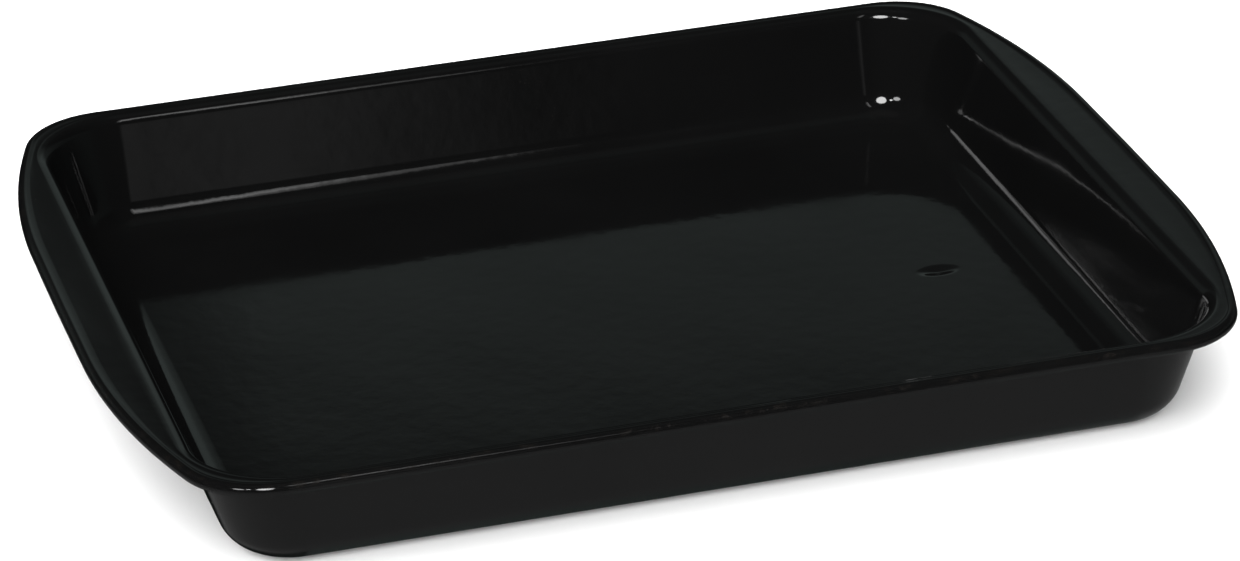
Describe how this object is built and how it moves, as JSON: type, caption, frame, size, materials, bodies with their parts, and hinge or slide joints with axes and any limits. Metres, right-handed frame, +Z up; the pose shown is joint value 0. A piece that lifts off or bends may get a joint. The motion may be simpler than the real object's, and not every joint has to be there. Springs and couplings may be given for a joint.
{
  "type": "shallow rectangular tray",
  "caption": "Shallow rectangular pressed-steel tray in gloss black enamel, with rounded corners, leaning walls, a rolled wired rim and a carrying flange at each end.",
  "frame": {"origin": "on the resting plane, under the centre of the tray", "axes": "+X along the tray from one carrying flange to the other, +Y across it, +Z up out of the tray"},
  "size_m": [0.38, 0.312, 0.039],
  "materials": {
    "black_enamel": "gloss",
    "steel_wire": "drawn"
  },
  "bodies": {
    "root": {"tray_shell": "black_enamel", "rim_wire": "steel_wire"}
  },
  "joints": []
}
